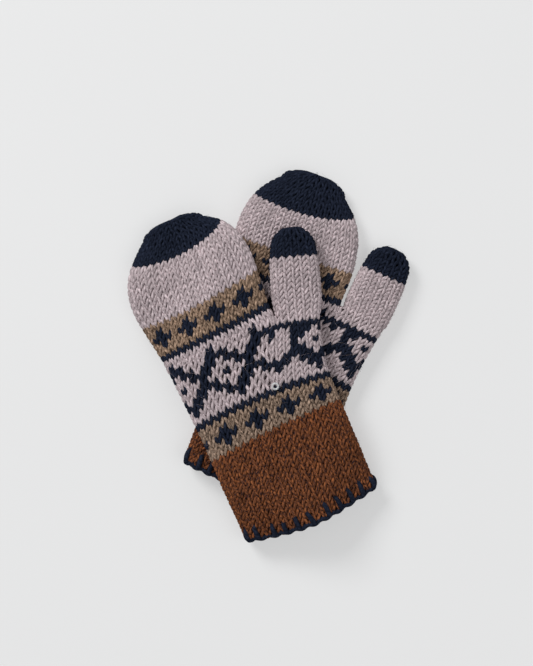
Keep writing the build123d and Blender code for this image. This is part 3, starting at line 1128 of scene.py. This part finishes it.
class KnitCrossBands(Maker):
    """Knit the taupe and the ochre band with their navy crosses"""

    bl_idname = "mittens.knit_cross_bands"
    bl_label = "Cross bands"

    def make(self, mitten, number):
        low = Rounds(
            mitten.hand, mitten.line("cuff_top"), mitten.line("lattice_bottom"), CROSS_ROWS,
            CROSS_CHART, LOWER_CROSS_PHASE,
        )
        slots = ["taupe_wool", "navy_wool"]
        piece = knit(mitten.full("lower_cross_band"), low, slots, 20 + number)
        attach(piece, mitten.full("palm"))
        high = Rounds(
            mitten.fingers, mitten.line("lattice_top"), mitten.line("cross_top"), CROSS_ROWS,
            CROSS_CHART, UPPER_CROSS_PHASE,
        )
        slots = ["ochre_wool", "navy_wool"]
        piece = knit(mitten.full("upper_cross_band"), high, slots, 30 + number)
        bend(piece, mitten, "fingers", mitten.plan, mitten.lattice_top, FINGER_BLEND)


class KnitLattices(Maker):
    """Knit the lattice bands and, past the line of increases, the thumb gussets"""

    bl_idname = "mittens.knit_lattices"
    bl_label = "Lattice bands and gussets"

    SLOTS = ["pale_wool", "navy_wool"]
    GUSSET_START = 7 * MM
    SEAM_MARGIN = 0.5 * MM

    def make(self, mitten, number):
        band = (mitten.line("lattice_bottom"), mitten.line("lattice_top"), LATTICE_ROWS)
        widths = (
            mitten.hand.width(mitten.lattice_bottom) / HAND_STITCHES,
            mitten.fingers.width(mitten.lattice_top) / HAND_STITCHES,
        )
        hand = OpenRounds(
            mitten.hand, mitten.seam, *band, LATTICE_CHART, LATTICE_PHASE, widths
        )
        below = Rounds(mitten.hand, *band, LATTICE_CHART, LATTICE_PHASE)
        above = Rounds(mitten.fingers, *band, LATTICE_CHART, LATTICE_PHASE)
        rng = np.random.default_rng(40 + number)
        sizes = bpy.context.scene.yarn_sizes
        strands = []
        for row in range(LATTICE_ROWS):
            past = mitten.seam.crossing(hand, row + 0.5) > mitten.seam.levels[-1] - self.SEAM_MARGIN
            rounds = below if row == 0 else above if past else hand
            strands.append(stitch_strand(rounds, row, rng, sizes))
        piece = finish_band(mitten.full("lattice_band"), hand, self.SLOTS, rng, strands)
        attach(piece, mitten.full("palm"))
        start = mitten.seam.levels[0] + self.GUSSET_START
        low = (start, float(band[0].at(0.5)) + hand.row_height())
        high = (mitten.crotch, mitten.plan.flat(mitten.thumb.at([0.5], [0.0]))[0, 1])
        chart = GUSSET_CHARTS[mitten.side]
        gusset = Gusset(mitten.hand, mitten.seam, low, high, GUSSET_ROWS, chart)
        piece = knit(mitten.full("thumb_gusset"), gusset, self.SLOTS, 50 + number)
        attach(piece, mitten.full("palm"))


class KnitFingers(Maker):
    """Knit the plain pale bands and the navy tips"""

    bl_idname = "mittens.knit_fingers"
    bl_label = "Plain bands and tips"

    def make(self, mitten, number):
        start = mitten.line("cap_start")
        plain = Rounds(mitten.fingers, mitten.line("cross_top"), start, PLAIN_ROWS)
        piece = knit(mitten.full("plain_band"), plain, ["pale_wool"], 60 + number)
        bend(piece, mitten, "fingers", mitten.plan, mitten.lattice_top, FINGER_BLEND)
        end = Line(mitten.fingers.levels[-2])
        cap = Rounds(mitten.fingers, start, end, CAP_ROWS, narrows=True)
        piece = knit(mitten.full("tip_cap"), cap, ["navy_wool"], 70 + number)
        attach(piece, mitten.full("fingers"))


class KnitThumbs(Maker):
    """Knit the thumbs"""

    bl_idname = "mittens.knit_thumbs"
    bl_label = "Thumbs"

    def make(self, mitten, number):
        split = Line(mitten.thumb_split)
        tube = Rounds(mitten.thumb, Line(0.0), split, THUMB_ROWS, stitches=THUMB_STITCHES)
        piece = knit(mitten.full("thumb_tube"), tube, ["pale_wool"], 80 + number)
        bend(piece, mitten, "thumb", mitten.thumb_plan, 0.0, THUMB_BLEND)
        end = Line(mitten.thumb.levels[-2])
        cap = Rounds(
            mitten.thumb, split, end, THUMB_CAP_ROWS, stitches=THUMB_STITCHES, narrows=True
        )
        piece = knit(mitten.full("thumb_cap"), cap, ["navy_wool"], 90 + number)
        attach(piece, mitten.full("thumb"))


def plain_strand(points, radius, closed=False, tone=0.0):
    """A strand of one wool along given points."""
    count = len(points)
    return {
        "points": np.asarray(points, float),
        "radius": np.broadcast_to(np.asarray(radius, float), (count,)).copy(),
        "closed": closed,
        "colour": np.zeros(count, int),
        "tone": np.full(count, tone),
    }


class SewHems(Maker):
    """Sew the navy blanket stitching round the hems"""

    bl_idname = "mittens.sew_hems"
    bl_label = "Hem stitching"

    # The edge cord: its thickness, its points to a bar, its place at the hem and its scallops.
    CORD = 4.0 * MM
    CORD_STEPS = 24
    CORD_DROP = 1.0 * MM
    CORD_DEPTH = 1.3 * MM
    SCALLOP = 0.7 * MM

    # The bars: how many, how thick and high, and how far they stray and lean, in bars.
    BARS = 22
    BAR = 3.8 * MM
    BAR_STEPS = 14
    BAR_HEIGHT = (8.5 * MM, 12.0 * MM)
    BAR_DROP = 0.8 * MM
    BAR_STRAY = 0.18
    BAR_LEAN = (-0.25, 0.05)

    # A bar arches over the cuff and dives into it at its end, where it thins.
    ARCH = 1.3 * MM
    ARCH_START = 0.7
    STAND = 0.3 * MM
    DIVE = 2.6 * MM
    THINNING = 0.25

    def make(self, mitten, number):
        rng = np.random.default_rng(100 + number)
        hem = mitten.line("hem")
        share = np.linspace(0, 1, self.CORD_STEPS * self.BARS, endpoint=False)
        scallop = self.SCALLOP * np.cos(2 * math.pi * share * self.BARS)
        level = hem.at(share) - self.CORD_DROP + scallop
        cord = mitten.hand.at(share, level, np.full(len(share), -self.CORD_DEPTH))
        strands = [plain_strand(cord, self.CORD / 2, closed=True)]
        step = np.linspace(0, 1, self.BAR_STEPS)
        arch = self.ARCH * np.sin(math.pi * step**self.ARCH_START) + self.STAND
        lift = arch - self.DIVE * step**6
        for bar in range(self.BARS):
            start = (bar + 0.5 + rng.uniform(-self.BAR_STRAY, self.BAR_STRAY)) / self.BARS
            rise = rng.uniform(*self.BAR_HEIGHT) * step - self.BAR_DROP
            lean = rng.uniform(*self.BAR_LEAN) / self.BARS
            spot = mitten.hand.at(start + lean * step, hem.at(start) + rise, lift)
            thick = self.BAR / 2 * (1.0 - self.THINNING * step**4)
            strands.append(plain_strand(spot, thick, tone=rng.normal()))
        name = mitten.full("blanket_stitch")
        piece = add_piece(name, yarn_mesh(name, strands), [wools()["navy_wool"]])
        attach(piece, mitten.full("cuff"))


class DrawTips(Maker):
    """Draw the last stitches of the tips and thumbs together"""

    bl_idname = "mittens.draw_tips"
    bl_label = "Gathered ends"

    # The drawn end winds in this many turns, each lower than the last, with a small waver.
    TURNS = 2.5
    STEPS = 60
    YARN = 1.9 * MM
    RISE = 1.2 * MM
    DEPTH = 1.4 * MM
    WAVER = 0.2 * MM
    WAVERS = 30

    def make(self, mitten, number):
        step = np.linspace(0, 1, self.STEPS)
        lift = self.WAVER * np.sin(step * self.WAVERS) - self.DEPTH
        ends = (("tip_gather", mitten.fingers, "fingers"), ("thumb_gather", mitten.thumb, "thumb"))
        for end, sleeve, body in ends:
            level = sleeve.levels[-2] - self.RISE * (1 - step) ** 0.6
            spiral = sleeve.at(step * self.TURNS, level, lift)
            name = mitten.full(end)
            mesh = yarn_mesh(name, [plain_strand(spiral, self.YARN / 2)])
            piece = add_piece(name, mesh, [wools()["navy_wool"]])
            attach(piece, mitten.full(body))


class HangTagLoop(bpy.types.Operator):
    """Add the clear plastic loop at the foot of the upper mitten's gusset line"""

    bl_idname = "mittens.hang_tag_loop"
    bl_label = "Tag loop"
    bl_options = {"REGISTER", "UNDO"}

    NODE = "upper_tag_loop"
    THICKNESS = 1.6 * MM
    STEPS = 32
    SIDES = 3
    TILT = 0.35
    STAND = 2.6 * MM

    def execute(self, context):
        low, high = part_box(self.NODE)
        middle = (low + high) / 2
        radius = (max(high.x - low.x, high.y - low.y) - self.THICKNESS) / 2
        turn = np.linspace(0, 2 * math.pi, self.STEPS, endpoint=False)
        points = np.stack([
            middle.x + radius * np.cos(turn),
            middle.y + radius * np.sin(turn),
            middle.z + self.TILT * radius * np.sin(turn) + self.STAND,
        ], 1)
        mesh = yarn_mesh(self.NODE, [plain_strand(points, self.THICKNESS / 2, True)], self.SIDES)
        piece = add_piece(self.NODE, mesh, [clear_plastic()])
        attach(piece, "upper_palm")
        return {"FINISHED"}


def object_noise(tree, scale):
    """Noise over the object itself."""
    place = add_node(tree, "ShaderNodeTexCoord", {}, "Object")
    return add_node(tree, "ShaderNodeTexNoise", {"Vector": place, "Scale": scale}, "Fac")


SCUFF_SCALE = 400.0
SCUFF_ROUGHNESS = (0.08, 0.25)


def clear_plastic():
    """Clear plastic, a little scuffed."""
    material, tree, shader = new_material("clear_plastic", {
        "Base Color": (0.93, 0.94, 0.95, 1.0),
        "Transmission Weight": 0.5,
        "IOR": 1.49,
    })
    scuffs = stretch(tree, object_noise(tree, SCUFF_SCALE), 0.0, 1.0, *SCUFF_ROUGHNESS)
    feed(tree, shader["Roughness"], scuffs)
    return material


PATCH_SCALE = 3.0


def floor_paint():
    """Matt pale grey paint."""
    material, tree, shader = new_material("floor_paint", {
        "Roughness": 0.9,
        "Emission Color": (1.0, 1.0, 1.0, 1.0),
        "Emission Strength": 0.44,
    })
    patches = object_noise(tree, PATCH_SCALE)
    tint = mix_colours(tree, patches, (0.40, 0.40, 0.40, 1.0), (0.42, 0.42, 0.42, 1.0))
    feed(tree, shader["Base Color"], tint)
    return material


def lamp(name, place, aim, size, power):
    """A square soft light turned to its aim."""
    light = bpy.data.lights.new(name, "AREA")
    light.size = size
    light.energy = power
    holder = bpy.data.objects.new(name, light)
    holder.location = place
    holder.rotation_euler = (aim - place).to_track_quat("-Z", "Y").to_euler()
    bpy.context.scene.collection.objects.link(holder)
    holder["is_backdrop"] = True


class SetStage(bpy.types.Operator):
    """Lay the floor, light it softly and hang the camera overhead"""

    bl_idname = "mittens.set_stage"
    bl_label = "Stage"
    bl_options = {"REGISTER", "UNDO"}

    FLOOR_SIZE = 6.0
    SKY_COLOUR = (0.96, 0.98, 1.0, 1.0)
    SKY_STRENGTH = 0.36
    CLIP_END = 20.0

    # Each lamp's name, its place off the middle of the picture, its size and its watts.
    LAMPS = (
        ("key", (-1.8, 2.0, 2.2), 1.3, 76.0),
        ("fill", (1.1, -0.6, 1.7), 1.4, 7.0),
    )

    def execute(self, context):
        scene = context.scene
        settings = scene.stage_settings
        self.lay_floor(scene)
        world = bpy.data.worlds.new("studio")
        world.use_nodes = True
        sky = world.node_tree.nodes["Background"].inputs
        sky["Color"].default_value = self.SKY_COLOUR
        sky["Strength"].default_value = self.SKY_STRENGTH
        scene.world = world
        scene.view_settings.view_transform = "Standard"
        middle = Vector((settings.aim_x, settings.aim_y, 0.0))
        for name, place, size, power in self.LAMPS:
            lamp(name, middle + Vector(place), middle, size, power)
        camera = bpy.data.objects.new("camera", bpy.data.cameras.new("camera"))
        camera.data.lens = settings.lens
        distance = settings.field * settings.lens / camera.data.sensor_width
        camera.location = middle + Vector((0.0, 0.0, distance))
        camera.data.clip_end = self.CLIP_END
        scene.collection.objects.link(camera)
        scene.camera = camera
        return {"FINISHED"}

    def lay_floor(self, scene):
        """The floor touches the lowest stitch."""
        bm = bmesh.new()
        bmesh.ops.create_grid(bm, x_segments=1, y_segments=1, size=self.FLOOR_SIZE)
        mesh = bpy.data.meshes.new("floor")
        bm.to_mesh(mesh)
        bm.free()
        mesh.materials.append(floor_paint())
        floor = bpy.data.objects.new("floor", mesh)
        floor.location.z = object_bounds()[0].z
        scene.collection.objects.link(floor)
        floor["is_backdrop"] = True


MAKERS = (
    KnitCuffs, SewHems, KnitCrossBands, KnitLattices, KnitFingers, KnitThumbs, DrawTips,
    HangTagLoop, SetStage,
)


class MittensPanel(bpy.types.Panel):
    """Lists the pieces in the sidebar"""

    bl_idname = "VIEW3D_PT_mittens"
    bl_label = "Mittens"
    bl_space_type = "VIEW_3D"
    bl_region_type = "UI"
    bl_category = "Mittens"

    def draw(self, context):
        layout = self.layout
        for group in (context.scene.yarn_sizes, context.scene.yarn_colours):
            for name in group.__annotations__:
                layout.prop(group, name)
        for maker in MAKERS:
            layout.operator(maker.bl_idname)


GROUPS = {
    "yarn_sizes": YarnSizes,
    "yarn_colours": YarnColours,
    "stage_settings": StageSettings,
}


CLASSES = (*GROUPS.values(), *MAKERS, MittensPanel)


def register():
    for kind in CLASSES:
        bpy.utils.register_class(kind)
    for name, group in GROUPS.items():
        setattr(bpy.types.Scene, name, bpy.props.PointerProperty(type=group))


def unregister():
    for name in GROUPS:
        delattr(bpy.types.Scene, name)
    for kind in reversed(CLASSES):
        bpy.utils.unregister_class(kind)


def main():
    register()
    for maker in MAKERS:
        family, name = maker.bl_idname.split(".")
        getattr(getattr(bpy.ops, family), name)()
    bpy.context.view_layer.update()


if __name__ == "__main__":
    main()
